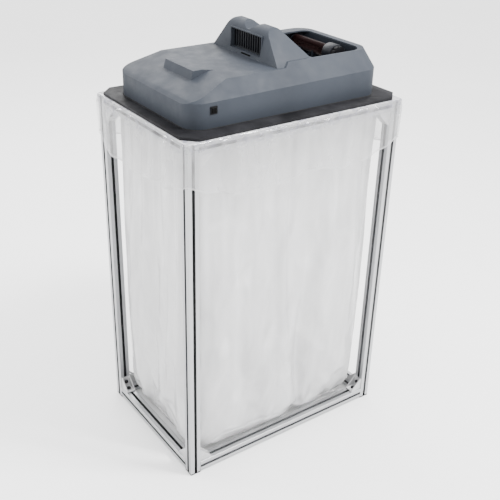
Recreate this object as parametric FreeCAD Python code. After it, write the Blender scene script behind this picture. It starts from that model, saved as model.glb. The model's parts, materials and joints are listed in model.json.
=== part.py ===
import FreeCAD, Part
import math
import os

# A bag-type dust collector.  An open frame of slotted aluminium profile holds a clear bag,
# and a moulded blower head on a flat lid plate rests on top of the frame.
# Millimetres.  X runs along the long side, Y along the short side, Z up.
# The origin is on the floor, under the middle of the frame.
# Front is -Y, left is -X.

os.makedirs("parts", exist_ok=True)

Vector = FreeCAD.Vector
X_AXIS = Vector(1, 0, 0)
Y_AXIS = Vector(0, 1, 0)
Z_AXIS = Vector(0, 0, 1)

# ---- Driving dimensions -------------------------------------------------------------

FRAME_LENGTH = 630.0
FRAME_WIDTH = 430.0
FRAME_TOP = 936.0
PROFILE = 30.0            # side of the square slotted profile
FOOT_HEIGHT = 4.0

SLOT_MOUTH = 8.2
SLOT_CHAMBER = 16.5
SLOT_LIP = 2.2
SLOT_DEPTH = 9.3
SLOT_FLOOR = 9.0          # width of the slot at its deepest
CORE_RADIUS = 3.65        # bore along the middle of every profile

FILM = 1.0                # the bag's modelled thickness
BAG_GAP = 4.0             # bag to frame, inside and outside
BAG_BOTTOM = 8.0
SKIRT_DROP = 125.0        # how far the folded rim hangs below the frame's top

LID_GAP = 0.1
SEAL = 1.0
PLATE = 6.0
PLATE_INSET = 0.0
PLATE_CHAMFER = 32.0      # the plate is cut off across each post

HOOD_NOSE = -281.0        # ends of the hood along X
HOOD_TAIL = 274.0
HOOD_WIDTH = 350.0
HOOD_CORNER = 44.0
HOOD_WALL = 3.5
HOOD_SEAL = 1.0
BAND_HEIGHT = 62.0        # the upright lower band of the hood
BEVEL_SLOPE = 0.94        # the bevel above it: inwards per mm upwards
DECK_HEIGHT = 95.0        # flat top in front of the tower
RIM_HEIGHT = 106.0        # rim of the filter well, behind the tower
TAIL_DRAFT = 0.09         # the tail wall leans in above the band: inwards per mm upwards
TOWER_HEIGHT = 174.0
NOSE_EDGE = 54.0          # height of the upright wall at the nose
RAMP_RUN = 111.0          # length of the sloping nose

TOWER_FRONT = -22.0       # foot of the tower's nearly upright front
TOWER_REAR = 82.0         # foot of its back slope, on the rim
TOWER_HALF_FOOT = 135.0
TOWER_HALF_TOP = 84.0
NOTCH_HALF = 27.0         # the notch that parts the tower's two humps
NOTCH_DEPTH = 16.0

WELL_LEFT = 86.0
WELL_RIGHT = 250.0
WELL_NEAR = -129.0
WELL_FAR = 117.0
WELL_CORNER = 36.0        # at the tail, on the push-button side
WELL_FAR_CORNER = 10.0
WELL_WALL = 2.5
RIM_FAR = 101.0           # the rim reaches over the far end of the well, as far as this
RIM_FAR_CORNER = 24.0

BLOWER_X = -100.0
SHAFT_RADIUS = 4.0
IMPELLER_RADIUS = 64.0
IMPELLER_BLADES = 12

FILTER_X = 220.0
FILTER_RADIUS = 17.0
FILTER_NEAR = -32.0
FILTER_FAR = 112.0
FILTER_PLEATS = 30
COLLAR_RADIUS = 24.0      # the pale collar before the grip
SPIGOT_RADIUS = 8.0
RUNNING_GAP = 0.3

# ---- Sizes worked out from those ----------------------------------------------------

HALF_LENGTH = FRAME_LENGTH / 2
HALF_WIDTH = FRAME_WIDTH / 2
INNER_LENGTH = HALF_LENGTH - PROFILE
INNER_WIDTH = HALF_WIDTH - PROFILE
PLATE_BOTTOM = FRAME_TOP + FILM + LID_GAP + SEAL
PLATE_TOP = PLATE_BOTTOM + PLATE
HOOD_BASE = PLATE_TOP + HOOD_SEAL
DECK_TOP = HOOD_BASE + DECK_HEIGHT
RIM_TOP = HOOD_BASE + RIM_HEIGHT
FILTER_Z = RIM_TOP - COLLAR_RADIUS - 1.0
HOOD_LENGTH = HOOD_TAIL - HOOD_NOSE
HOOD_MIDDLE = (HOOD_TAIL + HOOD_NOSE) / 2
FRONT_Y = -HOOD_WIDTH / 2
REAR_Y = HOOD_WIDTH / 2


# ---- Helpers ------------------------------------------------------------------------

def block(x_range, y_range, z_range):
    """A box between three pairs of limits."""
    size = [high - low for low, high in (x_range, y_range, z_range)]
    return Part.makeBox(size[0], size[1], size[2], Vector(x_range[0], y_range[0], z_range[0]))


def centred_block(half_x, half_y, z_range):
    return block((-half_x, half_x), (-half_y, half_y), z_range)


def polygon(points):
    return Part.Face(Part.makePolygon(points + [points[0]]))


def plan_prism(outline, z_range):
    """Extrude an outline of (x, y) points upward."""
    face = polygon([Vector(x, y, z_range[0]) for x, y in outline])
    return face.extrude(Vector(0, 0, z_range[1] - z_range[0]))


def side_prism(outline, y_range):
    """Extrude an outline of (x, z) points along Y."""
    face = polygon([Vector(x, y_range[0], z) for x, z in outline])
    return face.extrude(Vector(0, y_range[1] - y_range[0], 0))


def cross_prism(outline, x_range):
    """Extrude an outline of (y, z) points along X."""
    face = polygon([Vector(x_range[0], y, z) for y, z in outline])
    return face.extrude(Vector(x_range[1] - x_range[0], 0, 0))


def rounded_block(half_x, half_y, radius, z_range):
    """A box centred on the Z axis with its upright edges rounded."""
    solid = centred_block(half_x, half_y, z_range)
    upright = [edge for edge in solid.Edges if abs(edge.tangentAt(edge.FirstParameter).z) > 0.99]
    return solid.makeFillet(radius, upright)


def ring(outer, inner, height, centre, axis=Z_AXIS):
    """A tube standing on centre and running along axis."""
    tube = Part.makeCylinder(outer, height, centre, axis)
    return tube.cut(Part.makeCylinder(inner, height, centre, axis))


def arc_points(centre, radius, start_deg, end_deg, steps):
    """Points along an arc about centre, both ends included."""
    points = []
    for step in range(steps + 1):
        angle = math.radians(start_deg + (end_deg - start_deg) * step / steps)
        points.append((centre[0] + radius * math.cos(angle), centre[1] + radius * math.sin(angle)))
    return points


def four_ways(shape):
    """The shape and its three mirror images in the X and Y planes through the origin."""
    across = shape.mirror(Vector(), X_AXIS)
    return [shape, across, shape.mirror(Vector(), Y_AXIS), across.mirror(Vector(), Y_AXIS)]


def save(node, *shapes):
    """Write one node; several shapes become a group of separate solids."""
    solids = [solid for shape in shapes for solid in shape.Solids]
    result = solids[0] if len(solids) == 1 else Part.makeCompound(solids)
    result.exportStep("parts/" + node + ".step")


# ---- Frame: slotted profile ---------------------------------------------------------

def profile(length):
    """A slotted profile standing on the origin, centred on Z."""
    bar = rounded_block(PROFILE / 2, PROFILE / 2, 1.5, (0, length))
    face = PROFILE / 2
    slot_outline = [
        (face + 1, -SLOT_MOUTH / 2),
        (face - SLOT_LIP, -SLOT_MOUTH / 2),
        (face - SLOT_LIP, -SLOT_CHAMBER / 2),
        (face - SLOT_LIP - 2.0, -SLOT_CHAMBER / 2),
        (face - SLOT_DEPTH, -SLOT_FLOOR / 2),
        (face - SLOT_DEPTH, SLOT_FLOOR / 2),
        (face - SLOT_LIP - 2.0, SLOT_CHAMBER / 2),
        (face - SLOT_LIP, SLOT_CHAMBER / 2),
        (face - SLOT_LIP, SLOT_MOUTH / 2),
        (face + 1, SLOT_MOUTH / 2),
    ]
    slot = plan_prism(slot_outline, (0, length))
    for turn in range(4):
        bar = bar.cut(slot.rotated(Vector(), Z_AXIS, 90 * turn))
    return bar.cut(Part.makeCylinder(CORE_RADIUS, length))


def make_posts():
    post = profile(FRAME_TOP - FOOT_HEIGHT)
    sides = {"left": -1, "right": 1}
    depths = {"front": -1, "rear": 1}
    for depth, y_sign in depths.items():
        for side, x_sign in sides.items():
            x = x_sign * (HALF_LENGTH - PROFILE / 2)
            y = y_sign * (HALF_WIDTH - PROFILE / 2)
            save("post_" + depth + "_" + side, post.translated(Vector(x, y, FOOT_HEIGHT)))


def make_rails():
    """Top and bottom rails, butted between the posts."""
    long_rail = profile(2 * INNER_LENGTH).rotated(Vector(), Y_AXIS, 90)
    short_rail = profile(2 * INNER_WIDTH).rotated(Vector(), X_AXIS, -90)
    levels = {"top": FRAME_TOP - PROFILE / 2, "bottom": FOOT_HEIGHT + PROFILE / 2}
    for level, z in levels.items():
        for name, sign in (("front", -1), ("rear", 1)):
            y = sign * (HALF_WIDTH - PROFILE / 2)
            save(level + "_rail_" + name, long_rail.translated(Vector(-INNER_LENGTH, y, z)))
        for name, sign in (("left", -1), ("right", 1)):
            x = sign * (HALF_LENGTH - PROFILE / 2)
            save(level + "_rail_" + name, short_rail.translated(Vector(x, -INNER_WIDTH, z)))


# ---- Frame: corner brackets and their fasteners -------------------------------------

BRACKET_LEG = 36.0
BRACKET_WIDTH = 26.0
BRACKET_PLATE = 4.5
BRACKET_WEB = 3.0
BOLT_RADIUS = 3.0
BOLT_HEAD_RADIUS = 6.0
BOLT_HEAD_HEIGHT = 4.0
BOLT_REACH = 9.0          # how far the bolt enters the profile
BOLT_ALONG = 20.0         # from the inside corner to the bolt
NUT_HALF_LENGTH = 7.0
NUT_HALF_WIDTH = 6.0
NUT_THICKNESS = 4.0


def bracket():
    """A cast corner bracket in the +X +Z corner of the XZ plane, centred on Y = 0."""
    half = BRACKET_WIDTH / 2
    lying = block((0, BRACKET_LEG), (-half, half), (0, BRACKET_PLATE))
    standing = block((0, BRACKET_PLATE), (-half, half), (0, BRACKET_LEG))
    body = lying.fuse(standing)
    web = [
        (0, 0),
        (BRACKET_LEG, 0),
        (BRACKET_LEG, BRACKET_PLATE),
        (BRACKET_PLATE, BRACKET_LEG),
        (0, BRACKET_LEG),
    ]
    for y in (-half, half - BRACKET_WEB):
        body = body.fuse(side_prism(web, (y, y + BRACKET_WEB)))
    hole_length = BRACKET_PLATE + 2
    body = body.cut(Part.makeCylinder(BOLT_RADIUS + 0.3, hole_length, Vector(BOLT_ALONG, 0, -1)))
    body = body.cut(Part.makeCylinder(BOLT_RADIUS + 0.3, hole_length, Vector(-1, 0, BOLT_ALONG), X_AXIS))
    return body.removeSplitter()


def bracket_bolt():
    """A button-head bolt through the bracket's lying leg, pointing down."""
    base = Vector(BOLT_ALONG, 0, BRACKET_PLATE)
    shank_base = Vector(BOLT_ALONG, 0, -BOLT_REACH)
    head = Part.makeCylinder(BOLT_HEAD_RADIUS, BOLT_HEAD_HEIGHT, base)
    head = head.makeFillet(1.8, [head.Edges[0]])
    socket = Part.makeCylinder(2.0, BOLT_HEAD_HEIGHT, base + Vector(0, 0, 1.5))
    shank = Part.makeCylinder(BOLT_RADIUS, BOLT_REACH + BRACKET_PLATE, shank_base)
    return head.cut(socket).fuse(shank).removeSplitter()


def slot_nut():
    """The nut that the bolt holds, inside the profile's slot."""
    top = -SLOT_LIP - 0.1
    nut = block(
        (BOLT_ALONG - NUT_HALF_LENGTH, BOLT_ALONG + NUT_HALF_LENGTH),
        (-NUT_HALF_WIDTH, NUT_HALF_WIDTH),
        (top - NUT_THICKNESS, top),
    )
    return nut.cut(Part.makeCylinder(BOLT_RADIUS + 0.02, 20, Vector(BOLT_ALONG, 0, -10)))


def in_both_legs(piece):
    """A fastener in the lying leg and its copy in the standing leg."""
    swap = FreeCAD.Matrix(0, 0, 1, 0, 0, -1, 0, 0, 1, 0, 0, 0, 0, 0, 0, 1)
    return [piece, piece.transformGeometry(swap)]


def at_corners(piece, level):
    """Put a bracket-frame piece at all eight rail ends of one level."""
    rise = FOOT_HEIGHT + PROFILE
    if level == "top":
        piece = piece.mirror(Vector(), Z_AXIS)
        rise = FRAME_TOP - PROFILE
    along_x = piece.translated(Vector(-INNER_LENGTH, -HALF_WIDTH + PROFILE / 2, rise))
    turned = piece.rotated(Vector(), Z_AXIS, 90)
    along_y = turned.translated(Vector(-HALF_LENGTH + PROFILE / 2, -INNER_WIDTH, rise))
    return four_ways(along_x) + four_ways(along_y)


def make_brackets():
    save("top_brackets", *at_corners(bracket(), "top"))
    save("bottom_brackets", *at_corners(bracket(), "bottom"))
    bolts = []
    nuts = []
    for level in ("top", "bottom"):
        for bolt in in_both_legs(bracket_bolt()):
            bolts += at_corners(bolt, level)
        for nut in in_both_legs(slot_nut()):
            nuts += at_corners(nut, level)
    save("bracket_bolts", *bolts)
    save("slot_nuts", *nuts)


def make_feet():
    """Moulded caps under the posts, each with a stub in the profile's bore."""
    centre = Vector(-HALF_LENGTH + PROFILE / 2, -HALF_WIDTH + PROFILE / 2, 0)
    cap = rounded_block(PROFILE / 2, PROFILE / 2, 1.5, (0, FOOT_HEIGHT))
    stub = Part.makeCylinder(CORE_RADIUS - 0.05, 12, Vector(0, 0, FOOT_HEIGHT))
    save("foot_caps", *four_ways(cap.fuse(stub).translated(centre)))


# ---- Bag ----------------------------------------------------------------------------

def make_bag():
    """A clear bag: liner inside the frame, rim over the top rails, skirt hanging outside."""
    inside_x = INNER_LENGTH - BAG_GAP
    inside_y = INNER_WIDTH - BAG_GAP
    outside_x = HALF_LENGTH + BAG_GAP + FILM
    outside_y = HALF_WIDTH + BAG_GAP + FILM
    rim_top = FRAME_TOP + FILM
    liner = centred_block(inside_x, inside_y, (BAG_BOTTOM, rim_top))
    rim = centred_block(outside_x, outside_y, (FRAME_TOP, rim_top))
    skirt = centred_block(outside_x, outside_y, (FRAME_TOP - SKIRT_DROP, rim_top))
    skirt = skirt.cut(centred_block(outside_x - FILM, outside_y - FILM, (0, FRAME_TOP)))
    bag = liner.fuse(rim).fuse(skirt)
    hollow = centred_block(inside_x - FILM, inside_y - FILM, (BAG_BOTTOM + FILM, rim_top + 1))
    bag = bag.cut(hollow)
    save("dust_bag", bag.removeSplitter())


# ---- Lid plate ----------------------------------------------------------------------

DISCHARGE_RADIUS = 26.0
DISCHARGE_X = BLOWER_X + 58.0
DISCHARGE_Y = -104.0
DUCT_X = (FILTER_X - 30.0, FILTER_X + 30.0)
DUCT_Y = (WELL_FAR + WELL_WALL + 1.0, WELL_FAR + WELL_WALL + 19.0)
DUCT_WALL = 2.5
SCREW_RADIUS = 2.0
SCREW_INSET = 9.0         # from the hood's outside to its screws
BOSS_RADIUS = 6.0
BOSS_HEIGHT = 24.0


def cut_corner_block(half_x, half_y, chamfer, z_range):
    """A sheet centred on the Z axis with its four corners cut off."""
    corner = [(half_x - chamfer, half_y), (half_x, half_y - chamfer)]
    outline = [(x, y) for x, y in corner]
    outline += [(x, -y) for x, y in reversed(corner)]
    outline += [(-x, -y) for x, y in corner]
    outline += [(-x, y) for x, y in reversed(corner)]
    return plan_prism(outline, z_range)


def make_lid_plate():
    half_x = HALF_LENGTH - PLATE_INSET
    half_y = HALF_WIDTH - PLATE_INSET
    plate = cut_corner_block(half_x, half_y, PLATE_CHAMFER, (PLATE_BOTTOM, PLATE_TOP))
    base = Vector(DISCHARGE_X, DISCHARGE_Y, PLATE_BOTTOM)
    plate = plate.cut(Part.makeCylinder(DISCHARGE_RADIUS, PLATE, base))
    return_port = block(
        (DUCT_X[0] + DUCT_WALL, DUCT_X[1] - DUCT_WALL),
        (DUCT_Y[0] + DUCT_WALL, DUCT_Y[1] - DUCT_WALL),
        (PLATE_BOTTOM, PLATE_TOP),
    )
    plate = plate.cut(return_port)
    for x, y in screw_places():
        plate = plate.cut(screw_hole(x, y))
    save("lid_plate", plate)

    seal_range = (PLATE_BOTTOM - SEAL, PLATE_BOTTOM)
    seal = cut_corner_block(half_x - 1, half_y - 1, PLATE_CHAMFER, seal_range)
    save("lid_seal", seal.cut(centred_block(INNER_LENGTH + 2, INNER_WIDTH + 2, (0, PLATE_TOP))))


LOCATOR_SIDE = 19.0
LOCATOR_DEPTH = 17.0


def make_locating_blocks():
    """Blocks under the plate that keep it centred in the frame."""
    edge_x = INNER_LENGTH - BAG_GAP - FILM - RUNNING_GAP
    edge_y = INNER_WIDTH - BAG_GAP - FILM - RUNNING_GAP
    locator = block(
        (edge_x - LOCATOR_SIDE, edge_x),
        (edge_y - LOCATOR_SIDE, edge_y),
        (PLATE_BOTTOM - LOCATOR_DEPTH, PLATE_BOTTOM),
    )
    lower_edges = [edge for edge in locator.Edges if edge.BoundBox.ZMax < PLATE_BOTTOM - 1]
    save("locating_blocks", *four_ways(locator.makeChamfer(2.0, lower_edges)))


def screw_places():
    """Ten screws that hold the hood to the plate, all inside the hood's wall."""
    edge_y = HOOD_WIDTH / 2 - SCREW_INSET
    places = []
    for x in (-200.0, -150.0, 20.0, 215.0):
        places += [(x, -edge_y), (x, edge_y)]
    nose_x = HOOD_NOSE + SCREW_INSET
    return places + [(nose_x, -90.0), (nose_x, 90.0)]


def screw_hole(x, y):
    return Part.makeCylinder(SCREW_RADIUS + 0.3, PLATE, Vector(x, y, PLATE_BOTTOM))


def make_hood_screws():
    """Pan-head screws driven up through the plate into the hood's bosses."""
    screws = []
    for x, y in screw_places():
        head = Part.makeCylinder(4.0, 2.4, Vector(x, y, PLATE_BOTTOM - 2.4))
        cross = block((x - 2.4, x + 2.4), (y - 0.5, y + 0.5), (PLATE_BOTTOM - 2.4, PLATE_BOTTOM - 1.2))
        cross = cross.fuse(cross.rotated(Vector(x, y, 0), Z_AXIS, 90))
        shank = Part.makeCylinder(SCREW_RADIUS, PLATE + HOOD_SEAL + 14, Vector(x, y, PLATE_BOTTOM))
        screws.append(head.cut(cross).fuse(shank))
    save("hood_screws", *screws)


def make_hood_seal():
    """The dark sealing strip under the hood's edge."""
    z_range = (PLATE_TOP, HOOD_BASE)
    half_x = HOOD_LENGTH / 2
    half_y = HOOD_WIDTH / 2
    seal = rounded_block(half_x + 1.5, half_y + 1.5, HOOD_CORNER + 1.5, z_range)
    seal = seal.cut(rounded_block(half_x - 4.5, half_y - 4.5, HOOD_CORNER - 4.5, z_range))
    save("hood_seal", seal.translated(Vector(HOOD_MIDDLE, 0, 0)))


# ---- Hood shell ---------------------------------------------------------------------

def hood_side_outline(inset):
    """The hood without its tower, seen from the front."""
    base = HOOD_BASE - (1 if inset else 0)
    return [
        (HOOD_NOSE + inset, base),
        (HOOD_NOSE + inset, HOOD_BASE + NOSE_EDGE - inset * 0.4),
        (HOOD_NOSE + 11 + inset * 0.4, HOOD_BASE + NOSE_EDGE + 7 - inset),
        (HOOD_NOSE + RAMP_RUN + inset * 0.2, DECK_TOP - inset),
        (TOWER_FRONT + 20, DECK_TOP - inset),
        (TOWER_FRONT + 34, RIM_TOP - inset),
        (HOOD_TAIL + 1, RIM_TOP - inset),
        (HOOD_TAIL + 1, base),
    ]


def rounded_wire(x_range, half_y, radius, z):
    """A level rectangle with round corners."""
    middle = (x_range[0] + x_range[1]) / 2
    solid = rounded_block((x_range[1] - x_range[0]) / 2, half_y, radius, (z, z + 1))
    floor = min(solid.Faces, key=lambda face: face.CenterOfMass.z)
    return floor.OuterWire.translated(Vector(middle, 0, 0))


def hood_bevel_form(inset):
    """Above the band the round-cornered outline narrows upwards."""
    shoulder = HOOD_BASE + BAND_HEIGHT - inset * 0.4
    top = RIM_TOP + 5
    rise = top - shoulder
    half_y = HOOD_WIDTH / 2 - inset
    nose = HOOD_NOSE + inset
    tail = HOOD_TAIL - inset
    radius = HOOD_CORNER - inset
    lower = rounded_wire((nose, tail), half_y, radius, shoulder)
    upper = rounded_wire((nose, tail - rise * TAIL_DRAFT), half_y - rise * BEVEL_SLOPE, radius, top)
    return Part.makeLoft([lower, upper], True, True)


def tower_side_outline(inset):
    """The tower seen from the front: upright before, rounded on top, a long slope behind."""
    crest_radius = 24.0
    crest = (10.0, HOOD_BASE + TOWER_HEIGHT - crest_radius)
    sunk = DECK_TOP - 12
    outline = [(TOWER_FRONT + inset, sunk), (TOWER_FRONT + inset, DECK_TOP)]
    outline += arc_points(crest, crest_radius - inset, 168, 52, 10)
    outline += [(TOWER_REAR - inset, RIM_TOP), (TOWER_REAR + 14 - inset, sunk)]
    return outline


def tower_front_outline(inset):
    """The tower seen from the nose: leaning flanks and two humps parted by a notch."""
    shoulder_radius = 22.0
    top = HOOD_BASE + TOWER_HEIGHT
    shoulder = (TOWER_HALF_TOP - shoulder_radius, top - shoulder_radius)
    sunk = DECK_TOP - 12
    lean = (TOWER_HALF_FOOT - TOWER_HALF_TOP) / (TOWER_HEIGHT - DECK_HEIGHT - shoulder_radius)
    half_foot = TOWER_HALF_FOOT + lean * (DECK_TOP - sunk)
    right = [(half_foot - inset, sunk)]
    right += arc_points(shoulder, shoulder_radius - inset, 35, 90, 6)
    right += [(NOTCH_HALF + 6 + inset * 0.5, top - inset)]
    right += [(NOTCH_HALF - 3 + inset * 0.5, top - 3 - inset)]
    right += [(5.0, top - NOTCH_DEPTH - inset)]
    return right + [(-y, z) for y, z in reversed(right)]


def tower_form(inset):
    side = side_prism(tower_side_outline(inset), (-HOOD_WIDTH / 2, HOOD_WIDTH / 2))
    return side.common(cross_prism(tower_front_outline(inset), (HOOD_NOSE, HOOD_TAIL)))


def hood_form(inset):
    """The whole outside of the hood, or its hollow when inset by the wall."""
    z_range = (HOOD_BASE - (1 if inset else 0), HOOD_BASE + BAND_HEIGHT - inset * 0.4)
    radius = HOOD_CORNER - inset
    band = rounded_block(HOOD_LENGTH / 2 - inset, HOOD_WIDTH / 2 - inset, radius, z_range)
    body = band.translated(Vector(HOOD_MIDDLE, 0, 0)).fuse(hood_bevel_form(inset))
    body = body.common(side_prism(hood_side_outline(inset), (-HOOD_WIDTH, HOOD_WIDTH)))
    return body.fuse(tower_form(inset)).removeSplitter()


PAD_FRONT = HOOD_NOSE + 64.0
PAD_RISE = 5.0            # above the deck
PAD_Y = (-70.0, 54.0)


def nose_pad():
    """The raised pad on the nose: a steep front face, then a top that sinks into the deck."""
    ramp_rise = DECK_HEIGHT - NOSE_EDGE - 7
    ramp_share = (PAD_FRONT - HOOD_NOSE - 11) / (RAMP_RUN - 11)
    foot = HOOD_BASE + NOSE_EDGE + 7 + ramp_rise * ramp_share
    outline = [
        (PAD_FRONT, foot - 2),
        (PAD_FRONT + 7, DECK_TOP + PAD_RISE),
        (PAD_FRONT + 30, DECK_TOP + PAD_RISE),
        (PAD_FRONT + 70, DECK_TOP - 1),
    ]
    return side_prism(outline, PAD_Y)


BUTTON_X = -222.0
BUTTON_Z = HOOD_BASE + 41.0
BUTTON_HALF = 7.0
WINDOW_HALF = 63.0
WINDOW_Z = (DECK_TOP + 9.0, HOOD_BASE + TOWER_HEIGHT - 23.0)
WINDOW_DEPTH = 14.0       # from the tower's front to the grille
STRIP_Y = (-26.0, 14.0)   # the status strip, below the window
STRIP_Z = (DECK_TOP + 1.8, DECK_TOP + 6.0)
INLET_Y = -70.0
INLET_Z = HOOD_BASE + 34.0
INLET_HALF = (13.5, 10.0)
BOX_SIDE = 8.0            # half the box behind the push button


def make_hood_shell():
    shell = hood_form(0).fuse(nose_pad())
    shell = shell.cut(hood_form(HOOD_WALL))
    panel = (TOWER_FRONT - 2, TOWER_FRONT + WINDOW_DEPTH)
    lining = block(
        (TOWER_FRONT + 3, panel[1]),
        (-WINDOW_HALF - 3, WINDOW_HALF + 3),
        (WINDOW_Z[0] - 3, WINDOW_Z[1] + 3),
    )
    shell = shell.fuse(lining.common(hood_form(1)))
    shell = shell.cut(block(panel, (-WINDOW_HALF, WINDOW_HALF), WINDOW_Z))
    shell = shell.cut(block((TOWER_FRONT - 2, TOWER_FRONT + 4.5), STRIP_Y, STRIP_Z))
    mouth = well_outline(0, RIM_FAR, WELL_CORNER, RIM_FAR_CORNER)
    shell = shell.cut(plan_prism(mouth, (RIM_TOP - 12, RIM_TOP + 40)))
    half = BUTTON_HALF + 0.8
    shell = shell.cut(
        block(
            (BUTTON_X - half, BUTTON_X + half),
            (FRONT_Y - 2, FRONT_Y + HOOD_WALL + 1),
            (BUTTON_Z - half, BUTTON_Z + half),
        )
    )
    shell = shell.cut(
        block(
            (HOOD_TAIL - HOOD_WALL - 1, HOOD_TAIL + 2),
            (INLET_Y - INLET_HALF[0], INLET_Y + INLET_HALF[0]),
            (INLET_Z - INLET_HALF[1], INLET_Z + INLET_HALF[1]),
        )
    )
    for x, y in screw_places():
        base = Vector(x, y, HOOD_BASE)
        shell = shell.fuse(ring(BOSS_RADIUS, SCREW_RADIUS + 0.02, BOSS_HEIGHT, base))
    save("hood_shell", shell.removeSplitter())


def make_intake_grille():
    """A dark frame with upright slats, set back in the tower's window."""
    x_range = (TOWER_FRONT + WINDOW_DEPTH, TOWER_FRONT + WINDOW_DEPTH + 3)
    z_range = (WINDOW_Z[0] - 3, WINDOW_Z[1] + 3)
    grille = block(x_range, (-WINDOW_HALF - 3, WINDOW_HALF + 3), z_range)
    slats = 13
    pitch = 2 * WINDOW_HALF / slats
    for slat in range(slats):
        left = -WINDOW_HALF + slat * pitch + 1.6
        y_range = (left, left + pitch - 3.2)
        gap = block((x_range[0] - 1, x_range[1] + 1), y_range, (WINDOW_Z[0] + 3, WINDOW_Z[1] - 3))
        grille = grille.cut(gap)
    save("intake_grille", grille)


# ---- Filter well, cartridge and return duct -----------------------------------------

def well_outline(margin, far, near_corner, far_corner):
    """The well from above, grown by margin: square at the tower and rounded at the tail."""
    left = WELL_LEFT - margin
    right = WELL_RIGHT + margin
    near = WELL_NEAR - margin
    outline = [(left, far), (left, near)]
    outline += arc_points((right - near_corner, near + near_corner), near_corner, -90, 0, 9)
    outline += arc_points((right - far_corner, far - far_corner), far_corner, 0, 90, 6)
    return outline


def make_filter_well():
    """A dark tub under the rim that the cartridge lies in."""
    floor = PLATE_TOP + 2
    wall = WELL_WALL
    outside = well_outline(wall, WELL_FAR + wall, WELL_CORNER + wall, WELL_FAR_CORNER + wall)
    inside = well_outline(0, WELL_FAR, WELL_CORNER, WELL_FAR_CORNER)
    tub = plan_prism(outside, (floor, RIM_TOP - HOOD_WALL - 0.2))
    tub = tub.cut(plan_prism(inside, (floor + wall, RIM_TOP)))
    opening = Part.makeCylinder(SPIGOT_RADIUS + 0.02, 8, Vector(FILTER_X, WELL_FAR - 1, FILTER_Z), Y_AXIS)
    save("filter_well", tub.cut(opening))


def duct_outline(inset):
    """The return duct seen from the nose, cut off under the hood's bevel."""
    top = FILTER_Z + SPIGOT_RADIUS + 2.5
    bend = top - 10
    return [
        (DUCT_Y[0] + inset, PLATE_TOP),
        (DUCT_Y[1] - inset, PLATE_TOP),
        (DUCT_Y[1] - inset, bend - inset * 0.4),
        (DUCT_Y[1] - 9.5 - inset * 0.4, top - inset),
        (DUCT_Y[0] + inset, top - inset),
    ]


def make_return_duct():
    """A box duct from the lid plate to the round spigot inside the cartridge."""
    duct = cross_prism(duct_outline(0), DUCT_X)
    hollow = cross_prism(duct_outline(DUCT_WALL), (DUCT_X[0] + DUCT_WALL, DUCT_X[1] - DUCT_WALL))
    duct = duct.cut(hollow)
    start = Vector(FILTER_X, FILTER_FAR - 26, FILTER_Z)
    length = DUCT_Y[0] - start.y + DUCT_WALL
    duct = duct.fuse(Part.makeCylinder(SPIGOT_RADIUS, length, start, Y_AXIS))
    bore = Part.makeCylinder(SPIGOT_RADIUS - DUCT_WALL, length, start, Y_AXIS)
    save("return_duct", duct.cut(bore))


def pleated_outline():
    """A closed zigzag of pleats about the filter's axis, as (x, z) points."""
    points = []
    for corner in range(2 * FILTER_PLEATS):
        angle = math.pi * corner / FILTER_PLEATS
        radius = FILTER_RADIUS - 0.5 if corner % 2 == 0 else FILTER_RADIUS - 5.5
        points.append((FILTER_X + radius * math.cos(angle), FILTER_Z + radius * math.sin(angle)))
    return points


CORE_OUTER = SPIGOT_RADIUS + 2.5
CAP_THICKNESS = 6.0
COLLAR_NEAR = -63.0       # near end of the pale collar
GRIP_RADIUS = 21.5
GRIP_END = -74.0


def make_cartridge():
    media_range = (FILTER_NEAR, FILTER_FAR - CAP_THICKNESS)
    media = side_prism(pleated_outline(), media_range)
    start = Vector(FILTER_X, media_range[0], FILTER_Z)
    length = media_range[1] - media_range[0]
    save("filter_media", media.cut(Part.makeCylinder(CORE_OUTER + 0.1, length, start, Y_AXIS)))

    core = ring(CORE_OUTER, CORE_OUTER - 1.5, length, start, Y_AXIS)
    for row in range(7):
        y = start.y + length * (row + 0.5) / 7
        for turn in range(4):
            drill = Part.makeCylinder(2.5, 4 * CORE_OUTER, Vector(FILTER_X, y, FILTER_Z - 2 * CORE_OUTER))
            core = core.cut(drill.rotated(Vector(FILTER_X, y, FILTER_Z), Y_AXIS, 45 * turn))
    save("filter_core", core)

    near = Vector(FILTER_X, COLLAR_NEAR, FILTER_Z)
    end_ring = Part.makeCylinder(COLLAR_RADIUS, FILTER_NEAR - COLLAR_NEAR, near, Y_AXIS)
    save("filter_end_ring", end_ring)

    tip = Vector(FILTER_X, GRIP_END, FILTER_Z)
    grip = Part.makeCylinder(GRIP_RADIUS, COLLAR_NEAR - GRIP_END, tip, Y_AXIS)
    groove_start = Vector(FILTER_X + GRIP_RADIUS + 1, GRIP_END - 1, FILTER_Z)
    for turn in range(8):
        groove = Part.makeCylinder(3.0, 60, groove_start, Y_AXIS)
        grip = grip.cut(groove.rotated(Vector(FILTER_X, 0, FILTER_Z), Y_AXIS, 45 * turn))
    save("filter_grip", grip)

    far = Vector(FILTER_X, FILTER_FAR - CAP_THICKNESS, FILTER_Z)
    save("filter_collar", ring(FILTER_RADIUS, SPIGOT_RADIUS + RUNNING_GAP, CAP_THICKNESS, far, Y_AXIS))


def make_filter_cradles():
    """Two saddles on the floor of the well that carry the cartridge."""
    floor = PLATE_TOP + 2 + WELL_WALL
    cradles = []
    for y in (10.0, 60.0):
        half = FILTER_RADIUS - 1
        saddle = block((FILTER_X - half, FILTER_X + half), (y, y + 8), (floor, FILTER_Z - 6))
        start = Vector(FILTER_X, y, FILTER_Z)
        cradles.append(saddle.cut(Part.makeCylinder(FILTER_RADIUS - 0.5 + RUNNING_GAP, 8, start, Y_AXIS)))
    save("filter_cradles", *cradles)


# ---- Blower -------------------------------------------------------------------------

SCROLL_START = 74.0
SCROLL_GROWTH = 24.0
BLOWER_HEIGHT = 40.0
BLOWER_WALL = 2.5
COVER = 3.0
EYE_INNER = 34.0
EYE_OUTER = 52.0


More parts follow.
